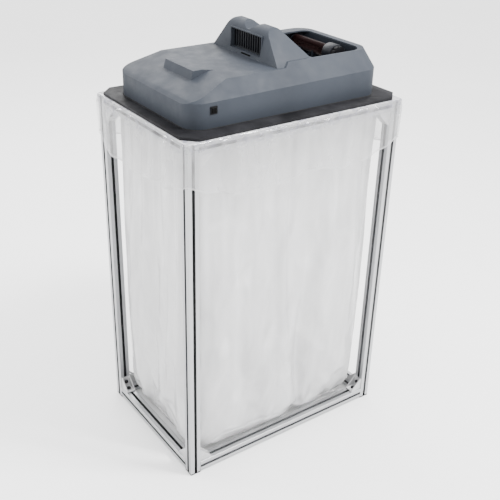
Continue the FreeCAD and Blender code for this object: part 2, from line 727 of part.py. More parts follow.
def scroll_outline(inset):
    """A spiral whose radius grows once round, ending in a mouth over the discharge port."""
    points = []
    for step in range(37):
        turn = step / 36.0
        angle = math.radians(-20 - 290 * turn)
        radius = SCROLL_START + SCROLL_GROWTH * turn - inset
        points.append((BLOWER_X + radius * math.cos(angle), radius * math.sin(angle)))
    return points


def scroll_form(inset, z_range):
    """The spiral chamber with a box over the discharge port."""
    spiral = plan_prism(scroll_outline(inset), z_range)
    half = DISCHARGE_RADIUS + 4 - inset
    mouth = block((DISCHARGE_X - half, DISCHARGE_X + half), (DISCHARGE_Y - half, -20), z_range)
    return spiral.fuse(mouth)


def make_blower_housing():
    floor = PLATE_TOP
    top = floor + BLOWER_HEIGHT
    outer = scroll_form(0, (floor, top))
    housing = outer.cut(scroll_form(BLOWER_WALL, (floor, top)))
    save("blower_housing", housing)

    cover = scroll_form(0, (top, top + COVER))
    centre = Vector(BLOWER_X, 0, top)
    eye = ring(EYE_OUTER, EYE_INNER, COVER, centre)
    for turn in range(4):
        spoke = block((BLOWER_X + EYE_INNER - 2, BLOWER_X + EYE_OUTER + 2), (-4, 4), (top, top + COVER))
        eye = eye.cut(spoke.rotated(centre, Z_AXIS, 45 + 90 * turn))
    cover = cover.cut(eye)
    save("blower_cover", cover.cut(Part.makeCylinder(SHAFT_RADIUS + 1, COVER, centre)))


def make_impeller():
    """A backplate, curved blades and a shroud ring on a hub."""
    base = PLATE_TOP + 4.0
    centre = Vector(BLOWER_X, 0, base)
    height = BLOWER_HEIGHT - 9.0
    wheel = Part.makeCylinder(IMPELLER_RADIUS, 2.5, centre)
    wheel = wheel.fuse(Part.makeCylinder(11, 20, centre))
    wheel = wheel.fuse(ring(IMPELLER_RADIUS, IMPELLER_RADIUS - 12, 2.0, centre + Vector(0, 0, height - 2)))
    blade_radius = 42.0
    middle = (IMPELLER_RADIUS + 26) / 2
    for number in range(IMPELLER_BLADES):
        bow = ring(blade_radius, blade_radius - 1.8, height, centre + Vector(middle, -blade_radius + 6, 0))
        keep = ring(IMPELLER_RADIUS, 26, height, centre)
        quarter = block((BLOWER_X, BLOWER_X + 80), (-20, 40), (base, base + height))
        blade = bow.common(keep).common(quarter)
        wheel = wheel.fuse(blade.rotated(centre, Z_AXIS, 360 * number / IMPELLER_BLADES))
    bore = Part.makeCylinder(SHAFT_RADIUS + 0.005, 40, centre)
    save("impeller", wheel.cut(bore).removeSplitter())


MOTOR_RADIUS = 30.0
MOTOR_BASE = PLATE_TOP + BLOWER_HEIGHT + COVER
MOTOR_HEIGHT = 36.0
CAN_WALL = 2.0
BEARING_RADIUS = 11.0
BEARING_HEIGHT = 6.0


def make_motor():
    centre = Vector(BLOWER_X, 0, MOTOR_BASE)
    can = Part.makeCylinder(MOTOR_RADIUS, MOTOR_HEIGHT, centre)
    inside = Vector(BLOWER_X, 0, MOTOR_BASE + CAN_WALL + BEARING_HEIGHT)
    inside_height = MOTOR_HEIGHT - 2 * (CAN_WALL + BEARING_HEIGHT)
    can = can.cut(Part.makeCylinder(MOTOR_RADIUS - CAN_WALL, inside_height, inside))
    can = can.cut(Part.makeCylinder(SHAFT_RADIUS + 1, MOTOR_HEIGHT, centre))
    lower_seat = centre + Vector(0, 0, CAN_WALL)
    upper_seat = centre + Vector(0, 0, MOTOR_HEIGHT - CAN_WALL - BEARING_HEIGHT)
    bearings = []
    for seat in (lower_seat, upper_seat):
        can = can.cut(Part.makeCylinder(BEARING_RADIUS, BEARING_HEIGHT, seat))
        bearings.append(ring(BEARING_RADIUS - 0.005, SHAFT_RADIUS + 0.05, BEARING_HEIGHT, seat))
    save("motor_can", can)
    save("motor_bearings", *bearings)
    stator = ring(MOTOR_RADIUS - CAN_WALL - 0.01, 17.5, inside_height - 4, inside + Vector(0, 0, 2))
    save("motor_stator", stator)
    rotor = ring(17.0, SHAFT_RADIUS + 0.005, inside_height - 6, inside + Vector(0, 0, 3))
    save("motor_rotor", rotor)
    shaft_base = Vector(BLOWER_X, 0, PLATE_TOP + 4.0)
    shaft_top = MOTOR_BASE + MOTOR_HEIGHT - CAN_WALL
    save("motor_shaft", Part.makeCylinder(SHAFT_RADIUS, shaft_top - shaft_base.z, shaft_base))


# ---- Push button, status strip and power inlet ----------------------------------------

BUTTON_TRAVEL = 2.0


def make_button():
    y_face = FRONT_Y
    bezel = block(
        (BUTTON_X - 9, BUTTON_X + 9),
        (y_face - 2, y_face),
        (BUTTON_Z - 9, BUTTON_Z + 9),
    )
    body = block(
        (BUTTON_X - BOX_SIDE + 0.3, BUTTON_X + BOX_SIDE - 0.3),
        (y_face, y_face + 22),
        (BUTTON_Z - BOX_SIDE + 0.3, BUTTON_Z + BOX_SIDE - 0.3),
    )
    cavity = BUTTON_HALF - 0.2
    well = block(
        (BUTTON_X - cavity, BUTTON_X + cavity),
        (y_face - 3, y_face + 12),
        (BUTTON_Z - cavity, BUTTON_Z + cavity),
    )
    save("button_bezel", bezel.fuse(body).cut(well).removeSplitter())

    half = cavity - 0.4
    cap = block(
        (BUTTON_X - half, BUTTON_X + half),
        (y_face - 3.5, y_face + 8),
        (BUTTON_Z - half, BUTTON_Z + half),
    )
    front = [edge for edge in cap.Edges if edge.BoundBox.YMax < y_face - 3]
    save("power_button", cap.makeChamfer(0.8, front))
    contact = block((BUTTON_X - 5, BUTTON_X + 5), (y_face + 22, y_face + 27), (BUTTON_Z - 5, BUTTON_Z + 5))
    save("switch_contacts", contact)


def make_status_strip():
    """A dark lens in the narrow strip below the intake window."""
    x_range = (TOWER_FRONT + 1.5, TOWER_FRONT + 4.5)
    save("status_strip", block(x_range, STRIP_Y, STRIP_Z))


def make_power_inlet():
    """A recessed appliance inlet in the tail wall, with three flat blades."""
    half_y, half_z = INLET_HALF
    flange = block(
        (HOOD_TAIL, HOOD_TAIL + 2),
        (INLET_Y - half_y - 3, INLET_Y + half_y + 3),
        (INLET_Z - half_z - 3, INLET_Z + half_z + 3),
    )
    body = block(
        (HOOD_TAIL - 20, HOOD_TAIL),
        (INLET_Y - half_y + 0.2, INLET_Y + half_y - 0.2),
        (INLET_Z - half_z + 0.2, INLET_Z + half_z - 0.2),
    )
    socket = block(
        (HOOD_TAIL - 17, HOOD_TAIL + 3),
        (INLET_Y - half_y + 1.7, INLET_Y + half_y - 1.7),
        (INLET_Z - half_z + 1.7, INLET_Z + half_z - 1.7),
    )
    save("power_inlet", flange.fuse(body).cut(socket).removeSplitter())
    blades = []
    for offset, rise in ((-7, -2), (0, 2), (7, -2)):
        y = INLET_Y + offset
        z = INLET_Z + rise
        blades.append(block((HOOD_TAIL - 17, HOOD_TAIL - 3), (y - 1, y + 1), (z - 2, z + 2)))
    save("inlet_blades", *blades)


make_posts()
make_rails()
make_brackets()
make_feet()
make_bag()
make_lid_plate()
make_locating_blocks()
make_hood_screws()
make_hood_seal()
make_hood_shell()
make_intake_grille()
make_filter_well()
make_return_duct()
make_cartridge()
make_filter_cradles()
make_blower_housing()
make_impeller()
make_motor()
make_button()
make_status_strip()
make_power_inlet()
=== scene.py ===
"""Looks of the dust collector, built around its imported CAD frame. Lengths are metres."""

import json
import math

import bmesh
import bpy
from mathutils import Matrix, Vector, noise


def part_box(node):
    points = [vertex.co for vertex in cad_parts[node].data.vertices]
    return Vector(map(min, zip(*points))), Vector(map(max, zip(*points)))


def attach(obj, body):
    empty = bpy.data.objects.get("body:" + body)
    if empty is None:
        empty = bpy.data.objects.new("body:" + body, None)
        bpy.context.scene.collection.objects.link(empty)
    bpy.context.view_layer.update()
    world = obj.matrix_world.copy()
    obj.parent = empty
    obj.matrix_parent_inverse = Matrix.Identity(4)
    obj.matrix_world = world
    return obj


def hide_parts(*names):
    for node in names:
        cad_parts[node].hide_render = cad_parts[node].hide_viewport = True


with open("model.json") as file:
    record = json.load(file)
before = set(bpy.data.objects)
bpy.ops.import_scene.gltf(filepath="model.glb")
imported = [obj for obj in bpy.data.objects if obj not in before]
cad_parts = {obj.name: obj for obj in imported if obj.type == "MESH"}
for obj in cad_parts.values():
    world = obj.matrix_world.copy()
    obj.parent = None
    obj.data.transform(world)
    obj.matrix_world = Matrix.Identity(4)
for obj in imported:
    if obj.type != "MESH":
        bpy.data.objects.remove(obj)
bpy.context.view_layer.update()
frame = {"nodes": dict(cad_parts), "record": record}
MM = 0.001


# ---- Places read from the frame -------------------------------------------------------

def node_box(node):
    """The low and high corners of a CAD node."""
    low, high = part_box(node)
    return Vector(low), Vector(high)


TAIL_POST_LOW, TAIL_POST_HIGH = node_box("post_rear_right")
BAG_LOW, BAG_HIGH = node_box("dust_bag")
RAIL_LOW, RAIL_HIGH = node_box("top_rail_front")
FOOT_RAIL_LOW, FOOT_RAIL_HIGH = node_box("bottom_rail_front")
HOOD_LOW, HOOD_HIGH = node_box("hood_shell")
WELL_LOW, WELL_HIGH = node_box("filter_well")
GRILLE_LOW, GRILLE_HIGH = node_box("intake_grille")
STRIP_LOW, STRIP_HIGH = node_box("status_strip")
BEZEL_LOW, BEZEL_HIGH = node_box("button_bezel")
INLET_LOW, INLET_HIGH = node_box("power_inlet")

OPENING_X = TAIL_POST_LOW.x
OPENING_Y = TAIL_POST_LOW.y
OUTSIDE_X = TAIL_POST_HIGH.x
OUTSIDE_Y = TAIL_POST_HIGH.y
FRAME_TOP = TAIL_POST_HIGH.z


# ---- Mesh helpers ---------------------------------------------------------------------

def link(name, mesh):
    piece = bpy.data.objects.new(name, mesh)
    bpy.context.scene.collection.objects.link(piece)
    return piece


def piece_from(name, build):
    """A new object whose mesh the function build fills in."""
    bm = bmesh.new()
    build(bm)
    mesh = bpy.data.meshes.new(name)
    bm.to_mesh(mesh)
    bm.free()
    return link(name, mesh)


def apply_modifiers(piece):
    graph = bpy.context.evaluated_depsgraph_get()
    mesh = bpy.data.meshes.new_from_object(piece.evaluated_get(graph))
    piece.modifiers.clear()
    piece.data = mesh
    return piece


def skin(name, rings):
    """A closed solid through rings of points, each ring with as many points as the first."""
    def build(bm):
        levels = [[bm.verts.new(point) for point in ring] for ring in rings]
        bm.faces.new(levels[0])
        bm.faces.new(levels[-1])
        count = len(rings[0])
        for lower, upper in zip(levels, levels[1:]):
            for index in range(count):
                after = (index + 1) % count
                bm.faces.new((lower[index], lower[after], upper[after], upper[index]))
        bmesh.ops.recalc_face_normals(bm, faces=bm.faces)

    return piece_from(name, build)


def loft(name, first, second):
    return skin(name, [first, second])


def box_piece(name, low, high):
    corners = [(low[0], low[1]), (high[0], low[1]), (high[0], high[1]), (low[0], high[1])]
    return loft(
        name,
        [(x, y, low[2]) for x, y in corners],
        [(x, y, high[2]) for x, y in corners],
    )


def combine(piece, other, operation):
    """Applies a boolean and removes the other piece."""
    modifier = piece.modifiers.new("combine", "BOOLEAN")
    modifier.operation = operation
    modifier.solver = "EXACT"
    modifier.object = other
    apply_modifiers(piece)
    bpy.data.objects.remove(other)
    return piece


def clean_edges(piece, angle_deg=1.0):
    """Merges doubled points and flattens coplanar faces into one."""
    bm = bmesh.new()
    bm.from_mesh(piece.data)
    bmesh.ops.remove_doubles(bm, verts=bm.verts, dist=0.02 * MM)
    bmesh.ops.dissolve_limit(
        bm,
        angle_limit=math.radians(angle_deg),
        verts=bm.verts,
        edges=bm.edges,
        delimit=set(),
    )
    bm.to_mesh(piece.data)
    bm.free()


def round_edges(piece, width, segments=3, angle_deg=20.0):
    modifier = piece.modifiers.new("round", "BEVEL")
    modifier.width = width
    modifier.segments = segments
    modifier.limit_method = "ANGLE"
    modifier.angle_limit = math.radians(angle_deg)
    modifier.use_clamp_overlap = True
    apply_modifiers(piece)


def shade(piece, angle_deg=32.0):
    """Smooth shading that stays crisp over sharp edges."""
    mesh = piece.data
    mesh.shade_smooth()
    mesh.set_sharp_from_angle(angle=math.radians(angle_deg))


def dress(piece, body, material):
    piece.data.materials.clear()
    piece.data.materials.append(material)
    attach(piece, body)
    return piece


def softened(node, width, body, material, segments=2, angle_deg=35.0):
    """The CAD node again with its sharp edges rounded."""
    mesh = frame["nodes"][node].data.copy()
    piece = link("soft_" + node, mesh)
    clean_edges(piece)
    round_edges(piece, width, segments, angle_deg)
    shade(piece)
    dress(piece, body, material)
    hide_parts(node)
    return piece


# ---- Materials ------------------------------------------------------------------------

MIX_FIRST_COLOUR = 6      # the Mix node's sockets by number: each name stands for several
MIX_SECOND_COLOUR = 7
MIX_COLOUR_OUT = 2
SLOT_SHADE_REACH = 14 * MM
SLOT_SHADE_SAMPLES = 8
# the colour of the painted shade in the profile's slots
SLOT_PAINTED_SHADE = (0.012, 0.012, 0.013)

class Surface:
    """A node material with a Principled shader and a few short ways to feed it."""

    def __init__(self, name, colour, roughness, metallic=0.0, specular=0.5):
        self.material = bpy.data.materials.new(name)
        self.material.use_nodes = True
        self.nodes = self.material.node_tree.nodes
        self.links = self.material.node_tree.links
        self.shader = self.nodes["Principled BSDF"]
        self.shader.inputs["Base Color"].default_value = (*colour, 1.0)
        self.shader.inputs["Roughness"].default_value = roughness
        self.shader.inputs["Metallic"].default_value = metallic
        self.shader.inputs["Specular IOR Level"].default_value = specular

    def noise(self, scale, detail=4.0, stretch=(1.0, 1.0, 1.0), distortion=0.0, ridged=False):
        place = self.nodes.new("ShaderNodeTexCoord")
        mapping = self.nodes.new("ShaderNodeMapping")
        mapping.inputs["Scale"].default_value = stretch
        texture = self.nodes.new("ShaderNodeTexNoise")
        if ridged:
            texture.noise_type = "RIDGED_MULTIFRACTAL"
        texture.inputs["Scale"].default_value = scale
        texture.inputs["Detail"].default_value = detail
        texture.inputs["Distortion"].default_value = distortion
        self.links.new(place.outputs["Object"], mapping.inputs["Vector"])
        self.links.new(mapping.outputs["Vector"], texture.inputs["Vector"])
        return texture.outputs["Fac"]

    def ramp(self, value, low, high, low_at=0.35, high_at=0.65):
        node = self.nodes.new("ShaderNodeValToRGB")
        node.color_ramp.elements[0].position = low_at
        node.color_ramp.elements[1].position = high_at
        node.color_ramp.elements[0].color = (*low, 1.0)
        node.color_ramp.elements[1].color = (*high, 1.0)
        self.links.new(value, node.inputs["Fac"])
        return node.outputs["Color"]

    def spread(self, value, low, high, low_at=0.3, high_at=0.7):
        node = self.nodes.new("ShaderNodeMapRange")
        node.inputs["From Min"].default_value = low_at
        node.inputs["From Max"].default_value = high_at
        node.inputs["To Min"].default_value = low
        node.inputs["To Max"].default_value = high
        self.links.new(value, node.inputs["Value"])
        return node.outputs["Result"]

    def mark(self, name):
        """A value stored on the mesh's points."""
        node = self.nodes.new("ShaderNodeAttribute")
        node.attribute_name = name
        return node.outputs["Fac"]

    def joined(self, operation, first, second, scale=1.0):
        """Two values added or multiplied; the second may be scaled first."""
        if scale != 1.0:
            second = self.spread(second, 0.0, scale, 0.0, 1.0)
        node = self.nodes.new("ShaderNodeMath")
        node.operation = operation
        node.use_clamp = True
        self.links.new(first, node.inputs[0])
        self.links.new(second, node.inputs[1])
        return node.outputs["Value"]

    def blend(self, share, plain, other):
        """The plain colour with a share of another mixed in."""
        node = self.nodes.new("ShaderNodeMix")
        node.data_type = "RGBA"
        self.links.new(share, node.inputs["Factor"])
        self.links.new(plain, node.inputs[MIX_FIRST_COLOUR])
        node.inputs[MIX_SECOND_COLOUR].default_value = (*other, 1.0)
        return node.outputs[MIX_COLOUR_OUT]

    def feed(self, socket, value):
        self.links.new(value, self.shader.inputs[socket])

    def bump(self, value, strength, depth):
        node = self.nodes.new("ShaderNodeBump")
        node.inputs["Strength"].default_value = strength
        node.inputs["Distance"].default_value = depth
        self.links.new(value, node.inputs["Height"])
        self.links.new(node.outputs["Normal"], self.shader.inputs["Normal"])
        return self

    def shadow_slots(self, low, high, value):
        """Painted shade deep in the profile's slots: the colour goes near black where ambient occlusion
        finds the surface enclosed.
        """
        depth = self.nodes.new("ShaderNodeAmbientOcclusion")
        depth.inputs["Distance"].default_value = SLOT_SHADE_REACH
        depth.samples = SLOT_SHADE_SAMPLES
        depth.only_local = True
        self.links.new(self.ramp(value, low, high), depth.inputs["Color"])
        openness = self.spread(depth.outputs["AO"], 0.0, 1.0, 0.25, 0.75)
        mix = self.nodes.new("ShaderNodeMix")
        mix.data_type = "RGBA"
        mix.inputs[MIX_FIRST_COLOUR].default_value = (*SLOT_PAINTED_SHADE, 1.0)
        self.links.new(openness, mix.inputs["Factor"])
        self.links.new(depth.outputs["Color"], mix.inputs[MIX_SECOND_COLOUR])
        self.feed("Base Color", mix.outputs[MIX_COLOUR_OUT])


def scaled(colour, factor):
    """A lighter or darker version of a colour."""
    return tuple(min(1.0, channel * factor) for channel in colour)


def grained(name, colour, roughness, grain=1500.0, relief=0.06 * MM, contrast=0.12, specular=0.5):
    """Moulded plastic or cast skin: fine grain, slightly uneven tone and gloss."""
    made = Surface(name, colour, roughness, specular=specular)
    cloud = made.noise(9.0, 5.0)
    made.feed("Base Color", made.ramp(cloud, scaled(colour, 1 - contrast), scaled(colour, 1 + contrast)))
    made.feed("Roughness", made.spread(made.noise(60.0, 3.0), roughness - 0.05, roughness + 0.06))
    made.bump(made.noise(grain, 2.0), 0.5, relief)
    return made.material


def brushed(name, colour, roughness, stretch, relief=0.03 * MM):
    """Anodised or drawn metal with streaks along one direction."""
    made = Surface(name, colour, roughness, metallic=1.0)
    streak = made.noise(1.0, 3.0, stretch)
    made.feed("Roughness", made.spread(streak, roughness - 0.07, roughness + 0.08))
    made.bump(streak, 0.35, relief)
    # paints shade into the slots wherever ambient occlusion finds them enclosed
    made.shadow_slots(scaled(colour, 0.9), scaled(colour, 1.06), streak)
    return made.material


ALUMINIUM = (0.42, 0.425, 0.435)
STREAK_FINE = 900.0
STREAK_LONG = 8.0


def aluminium(along):
    """Profile bar with its drawing streaks along one axis."""
    stretch = [STREAK_FINE] * 3
    stretch["XYZ".index(along)] = STREAK_LONG
    return brushed("anodised_aluminium_" + along, ALUMINIUM, 0.38, stretch)


def cast_metal():
    """The brackets: coarse cast skin."""
    made = Surface("cast_bracket_metal", (0.5, 0.5, 0.51), 0.45, metallic=0.9)
    grit = made.noise(700.0, 4.0)
    made.feed("Base Color", made.ramp(grit, (0.38, 0.38, 0.39), (0.6, 0.6, 0.6)))
    made.feed("Roughness", made.spread(made.noise(120.0), 0.38, 0.6))
    return made.bump(grit, 0.5, 0.2 * MM).material


def plated_steel(name, colour, roughness):
    """Plated or blackened steel with a cloudy tone."""
    made = Surface(name, colour, roughness, metallic=1.0)
    cloud = made.noise(80.0, 4.0)
    made.feed("Base Color", made.ramp(cloud, scaled(colour, 0.85), scaled(colour, 1.1)))
    made.feed("Roughness", made.spread(cloud, roughness - 0.06, roughness + 0.1))
    return made.bump(made.noise(900.0), 0.3, 0.04 * MM).material


def black_sheet():
    """The lid plate: satin black sheet with a faint brushed haze and dust."""
    made = Surface("black_lid_sheet", (0.008, 0.008, 0.009), 0.55, specular=0.06)
    haze = made.noise(14.0, 6.0)
    made.feed("Base Color", made.ramp(haze, (0.006, 0.006, 0.007), (0.016, 0.016, 0.018)))
    made.feed("Roughness", made.spread(made.noise(45.0, 5.0), 0.42, 0.6))
    return made.bump(made.noise(1200.0, 2.0), 0.35, 0.05 * MM).material


def hood_plastic():
    """Grey moulded ABS with a spark-eroded grain and faint handling marks."""
    base = (0.026, 0.0305, 0.039)
    made = Surface("grey_hood_plastic", base, 0.58, specular=0.16)
    cloud = made.noise(5.0, 6.0, distortion=0.4)
    made.feed("Base Color", made.ramp(cloud, scaled(base, 0.9), scaled(base, 1.1)))
    made.feed("Roughness", made.spread(made.noise(30.0, 6.0), 0.5, 0.66))
    return made.bump(made.noise(1300.0, 2.0), 0.55, 0.09 * MM).material


def filter_paper():
    """Dark red-brown pleated paper with a fibrous surface."""
    made = Surface("filter_paper", (0.02, 0.009, 0.009), 0.4, specular=0.5)
    fibre = made.noise(600.0, 6.0)
    made.feed("Base Color", made.ramp(fibre, (0.012, 0.005, 0.005), (0.032, 0.013, 0.013)))
    return made.bump(fibre, 0.5, 0.1 * MM).material


def clear_film(name, thin, thick, crinkle_depth, darkest_crease_shade):
    """Polythene film: milky where it creases and darker between the creases, partly painted crinkle shade;
    painted shade in its gathered puckers; clearer where it lies flat, and glossy.
    """
    made = Surface(name, (0.86, 0.865, 0.87), 0.15, specular=1.0)
    cloud = made.noise(16.0, 6.0, (1.0, 1.0, 0.35), distortion=0.7)
    fine = made.noise(140.0, 4.0, (1.0, 1.0, 0.5))
    crease = made.noise(11.0, 6.0, (1.0, 1.0, 0.6), distortion=0.5, ridged=True)
    pucker = made.spread(made.noise(60.0, 5.0, (1.0, 1.0, 1.6), distortion=1.0), 0.0, 1.0, 0.42, 0.62)
    # painted shade: the puckers in the gathered band over the rails go dark grey-blue
    painted_pucker_shade = made.joined("MULTIPLY", pucker, made.mark("gather"))
    # painted crinkle shade: the tone runs from light on the crease ridges to dark between them, partly the
    # film's real milky creases
    plain = made.ramp(crease, (darkest_crease_shade, darkest_crease_shade, darkest_crease_shade * 1.01), (0.84, 0.845, 0.85), 0.2, 0.8)
    made.feed("Base Color", made.blend(painted_pucker_shade, plain, (0.24, 0.24, 0.28)))
    cover = made.joined("ADD", made.spread(cloud, thin, thick), made.mark("hem"))
    made.feed("Alpha", made.joined("ADD", cover, made.joined("MULTIPLY", made.mark("gather"), pucker, 0.3)))
    made.feed("Roughness", made.spread(fine, 0.06, 0.2))
    made.bump(crease, 0.9, crinkle_depth)
    made.material.surface_render_method = "DITHERED"
    return made.material


MATERIALS = {
    "cast_bracket": cast_metal(),
    "black_steel": plated_steel("black_oxide_steel", (0.035, 0.035, 0.037), 0.38),
    "plain_steel": plated_steel("zinc_plated_steel", (0.62, 0.62, 0.63), 0.33),
    "zinc_steel": plated_steel("galvanised_steel", (0.6, 0.61, 0.62), 0.4),
    "stator_steel": plated_steel("laminated_steel", (0.3, 0.3, 0.31), 0.45),
    "brass_contact": plated_steel("brass_contact_metal", (0.72, 0.55, 0.27), 0.3),
    "black_plastic": grained("black_moulded_plastic", (0.005, 0.005, 0.006), 0.42, specular=0.08),
    "button_plastic": grained(
        "button_black_plastic", (0.002, 0.002, 0.002), 0.4, 1800.0, 0.04 * MM, specular=0.03
    ),
    "dark_plastic": grained("dark_moulded_plastic", (0.01, 0.011, 0.014), 0.45, specular=0.12),
    "tub_plastic": grained("tub_moulded_plastic", (0.016, 0.019, 0.025), 0.36, specular=0.15),
    "pale_plastic": grained(
        "collar_plastic", (0.008, 0.0088, 0.012), 0.4, 1500.0, 0.04 * MM, specular=0.16
    ),
    "grey_plastic": hood_plastic(),
    "black_panel": black_sheet(),
    "foam_rubber": grained(
        "closed_cell_foam", (0.012, 0.012, 0.012), 0.85, 500.0, 0.3 * MM, specular=0.25
    ),
    "clear_film": clear_film("liner_film", 0.66, 0.92, 3 * MM, 0.56),
    "filter_paper": filter_paper(),
}
SKIRT_FILM = clear_film("skirt_film", 0.16, 0.58, 12 * MM, 0.45)


def dress_cad_nodes():
    """Every CAD node's plain colour gives way to the material of its slot."""
    rails = {"front": "X", "rear": "X", "left": "Y", "right": "Y"}
    bars = {direction: aluminium(direction) for direction in "XYZ"}
    for row in frame["record"]["subparts"]:
        node = row["node"]
        piece = frame["nodes"][node]
        if row["material_slot"] == "aluminium_profile":
            direction = rails[node.split("_")[-1]] if "rail" in node else "Z"
            material = bars[direction]
        else:
            material = MATERIALS[row["material_slot"]]
        for slot in piece.material_slots:
            slot.material = material


# ---- Hood -----------------------------------------------------------------------------

BAND = 62 * MM            # heights above the hood's base
DECK = 95 * MM
RIM = 106 * MM
NOSE_EDGE = 54 * MM
RAMP_RUN = 111 * MM
CORNER = 44 * MM
TAIL_DRAFT = 0.09         # the tail wall leans in above the band
BAND_RISE = 4 * MM        # the band's top edge climbs this much either way towards the tail
BEVEL_SLOPE = 0.94        # run for each unit of rise
NOSE_BEVEL_RUN = 11 * MM
NOSE_BEVEL_RISE = 7 * MM
TOWER_SUNK = 12 * MM      # the tower starts this far below the deck
BASE_OVERCUT = 1 * MM     # the hollow runs past the base, so that the hood is open below
WALL = 3.5 * MM
EDGE_ROUND = 4.5 * MM
TOWER_FRONT = STRIP_LOW.x - 1.5 * MM
TOWER_REAR = TOWER_FRONT + 104 * MM
TOWER_HALF_FOOT = 135 * MM
TOWER_HALF_TOP = 84 * MM
NOTCH_HALF = 27 * MM
NOTCH_DEPTH = 16 * MM
HOOD_BASE = HOOD_LOW.z
HOOD_TOP = HOOD_HIGH.z
DECK_TOP = HOOD_BASE + DECK
RIM_TOP = HOOD_BASE + RIM
NOSE = HOOD_LOW.x
TAIL = HOOD_HIGH.x
HALF = HOOD_HIGH.y


def arc(centre, radius, start_deg, end_deg, steps):
    turn = (end_deg - start_deg) / steps
    angles = [math.radians(start_deg + turn * step) for step in range(steps + 1)]
    return [(centre[0] + radius * math.cos(a), centre[1] + radius * math.sin(a)) for a in angles]


def rounded_outline(low, high, radius, steps=9):
    """A rectangle in plan with round corners, anticlockwise."""
    corners = [
        ((high[0] - radius, low[1] + radius), -90),
        ((high[0] - radius, high[1] - radius), 0),
        ((low[0] + radius, high[1] - radius), 90),
        ((low[0] + radius, low[1] + radius), 180),
    ]
    points = []
    for centre, start in corners:
        points += arc(centre, radius, start, start + 90, steps)
    return points


def along_x(outlines, x_range, name):
    """A loft along X between two (y, z) outlines."""
    ends = [[(x, y, z) for y, z in outline] for outline, x in zip(outlines, x_range)]
    return loft(name, *ends)


def along_y(outline, y_range, name):
    ends = [[(x, y, z) for x, z in outline] for y in y_range]
    return loft(name, *ends)


def upright(outline, z_range, name):
    ends = [[(x, y, z) for x, y in outline] for z in z_range]
    return loft(name, *ends)


def hood_side(inset):
    """The long side's outline: nose, ramp, deck and the higher rim behind the tower."""
    base = HOOD_BASE - (BASE_OVERCUT if inset else 0)
    return [
        (NOSE + inset, base),
        (NOSE + inset, HOOD_BASE + NOSE_EDGE - inset * 0.4),
        (NOSE + NOSE_BEVEL_RUN + inset * 0.4, HOOD_BASE + NOSE_EDGE + NOSE_BEVEL_RISE - inset),
        (NOSE + RAMP_RUN + inset * 0.2, DECK_TOP - inset),
        (TOWER_FRONT + 20 * MM, DECK_TOP - inset),
        (TOWER_FRONT + 34 * MM, RIM_TOP - inset),
        (TAIL + 1 * MM, RIM_TOP - inset),
        (TAIL + 1 * MM, base),
    ]


def shoulder_height(x, inset):
    """The edge between band and bevel climbs a little from the nose to the tail."""
    share = (x - NOSE) / (TAIL - NOSE)
    return HOOD_BASE + BAND + BAND_RISE * (2 * share - 1) - inset * 0.4


def hood_skin(inset):
    """Band and bevel: a round-cornered outline that narrows above the shoulder."""
    low = (NOSE + inset, -HALF + inset)
    high = (TAIL - inset, HALF - inset)
    top = RIM_TOP + 5 * MM
    rise = top - HOOD_BASE - BAND
    run = rise * BEVEL_SLOPE
    plan = rounded_outline(low, high, CORNER - inset)
    drawn_in = rounded_outline(
        (low[0], low[1] + run),
        (high[0] - rise * TAIL_DRAFT, high[1] - run),
        CORNER - inset,
    )
    base = HOOD_BASE - (BASE_OVERCUT if inset else 0)
    rings = [
        [(x, y, base) for x, y in plan],
        [(x, y, shoulder_height(x, inset)) for x, y in plan],
        [(x, y, top) for x, y in drawn_in],
    ]
    return skin("hood_shell_skin", rings)


def tower_side(inset):
    """The tower seen from the long side: an upright front, a round crest, a sloping back."""
    crest_radius = 24 * MM
    crest = (TOWER_FRONT + 32 * MM, HOOD_TOP - crest_radius)
    sunk = DECK_TOP - TOWER_SUNK
    outline = [(TOWER_FRONT + inset, sunk), (TOWER_FRONT + inset, DECK_TOP)]
    outline += arc(crest, crest_radius - inset, 168, 52, 12)
    outline += [(TOWER_REAR - inset, RIM_TOP), (TOWER_REAR + 14 * MM - inset, sunk)]
    return outline


def tower_cross(inset):
    """Leaning flanks and two humps parted by a notch, seen from the nose."""
    radius = 22 * MM
    shoulder = (TOWER_HALF_TOP - radius, HOOD_TOP - radius)
    sunk = DECK_TOP - TOWER_SUNK
    lean = (TOWER_HALF_FOOT - TOWER_HALF_TOP) / (HOOD_TOP - DECK_TOP - radius)
    half_foot = TOWER_HALF_FOOT + lean * (DECK_TOP - sunk)
    right = [(half_foot - inset, sunk)]
    right += arc(shoulder, radius - inset, 35, 90, 8)
    hump = (NOTCH_HALF + 7 * MM, HOOD_TOP - 12 * MM)
    right += arc(hump, 12 * MM - inset, 96, 150, 5)
    right += [(4 * MM, HOOD_TOP - NOTCH_DEPTH - inset)]
    return right + [(-y, z) for y, z in reversed(right)]


def tower(inset):
    wide = 2 * HALF
    body = along_y(tower_side(inset), (-wide, wide), "tower")
    outline = tower_cross(inset)
    front = along_x((outline, outline), (NOSE, TAIL), "tower_front")
    return combine(body, front, "INTERSECT")


def hood_body(inset):
    """The hood as a solid; drawn in by inset it is the hollow inside."""
    wide = 2 * HALF
    side = along_y(hood_side(inset), (-wide, wide), "side")
    body = combine(hood_skin(inset), side, "INTERSECT")
    return combine(body, tower(inset), "UNION")


PAD_FRONT = NOSE + 64 * MM
PAD_RISE = 5 * MM
PAD_Y = (-70 * MM, 54 * MM)


